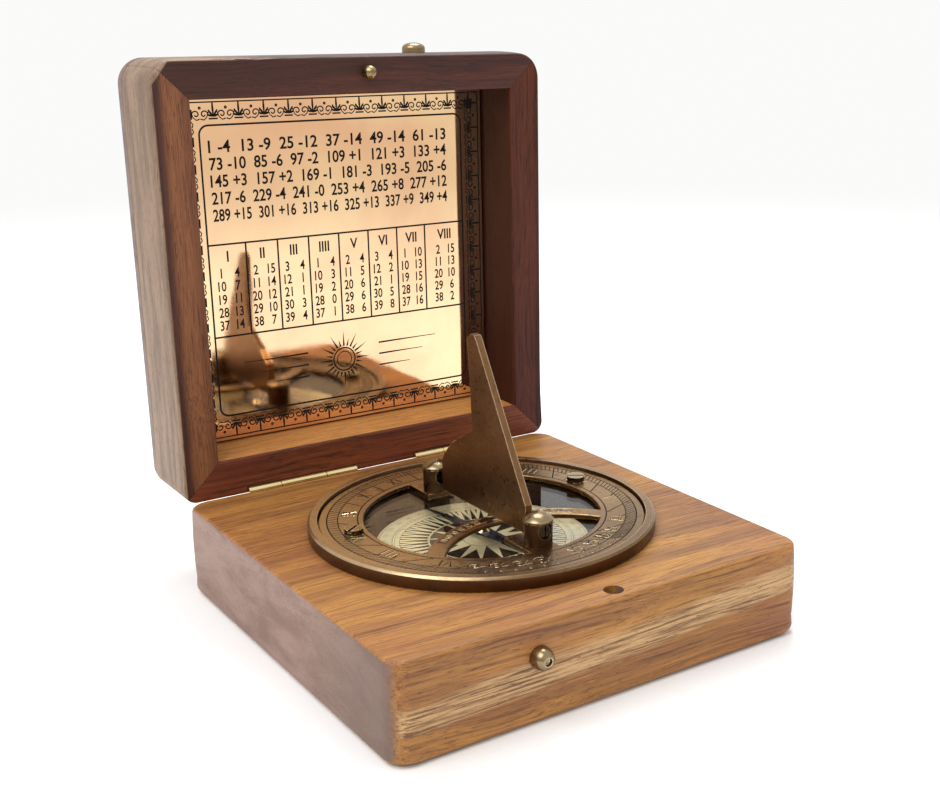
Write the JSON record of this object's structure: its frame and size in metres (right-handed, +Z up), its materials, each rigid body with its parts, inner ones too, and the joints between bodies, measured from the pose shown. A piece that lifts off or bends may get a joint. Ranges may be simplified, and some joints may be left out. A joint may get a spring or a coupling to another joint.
{
  "type": "pocket sundial",
  "caption": "Horizontal sundial with a folding gnomon over a magnetic compass, let into the base of a square hinged wooden box.",
  "frame": {"origin": "centre of the base block's bottom face", "axes": "+X to the right along the hinge axis, +Y towards the hinge side, +Z up out of the dial; the lid stands open at 90 degrees at rest"},
  "size_m": [0.1016, 0.1274, 0.1252],
  "materials": {
    "base_wood": "oiled golden-brown hardwood with pale sapwood streaks",
    "lid_wood": "oiled dark red-brown hardwood",
    "panel_wood": "oiled dark brown hardwood",
    "polished_brass": "polished sheet with etched black lines",
    "hinge_brass": "bright satin",
    "aged_brass": "antiqued brown brass, worn bright at the edges",
    "card_brass": "bright engraved disc with black filled rays",
    "glass": "clear flat glass",
    "needle_steel": "blued steel"
  },
  "bodies": {
    "box": {"base_block": "base_wood", "left_hinge_base_leaf": "hinge_brass", "left_hinge_pin": "hinge_brass", "right_hinge_base_leaf": "hinge_brass", "right_hinge_pin": "hinge_brass", "hinge_base_screws": "hinge_brass", "base_knob": "aged_brass", "compass_bowl": "aged_brass", "compass_card": "card_brass", "compass_glass": "glass", "needle_pivot": "needle_steel", "dial_plate": "aged_brass", "dial_screws": "aged_brass", "rear_post": "aged_brass", "front_post": "aged_brass", "post_domes": "aged_brass", "rear_pivot_screw": "aged_brass", "front_pivot_screw": "aged_brass"},
    "lid": {"lid_front_wall": "lid_wood", "lid_back_wall": "lid_wood", "lid_left_wall": "lid_wood", "lid_right_wall": "lid_wood", "lid_panel": "panel_wood", "lid_plate": "polished_brass", "left_hinge_lid_leaf": "hinge_brass", "right_hinge_lid_leaf": "hinge_brass", "hinge_lid_screws": "hinge_brass", "lid_knob": "aged_brass", "lid_peg": "hinge_brass"},
    "gnomon": {"gnomon": "aged_brass"},
    "needle": {"needle": "needle_steel", "needle_cap": "hinge_brass"}
  },
  "joints": [
    {"name": "lid_hinge", "type": "hinge", "parent": "box", "child": "lid", "pos_m": [0, 0.0504, 0.02155], "axis": [1, 0, 0], "range_deg": [0, 90]},
    {"name": "gnomon_fold", "type": "hinge", "parent": "box", "child": "gnomon", "pos_m": [-0.0008, 0, 0.0279], "axis": [0, 1, 0], "range_deg": [0, 90]},
    {"name": "needle_spin", "type": "hinge", "parent": "box", "child": "needle", "pos_m": [0, 0, 0.0187], "axis": [0, 0, 1], "continuous": true}
  ],
  "couplings": [
    {"joint": "gnomon_fold", "follows": "lid_hinge", "ratio": 1}
  ]
}
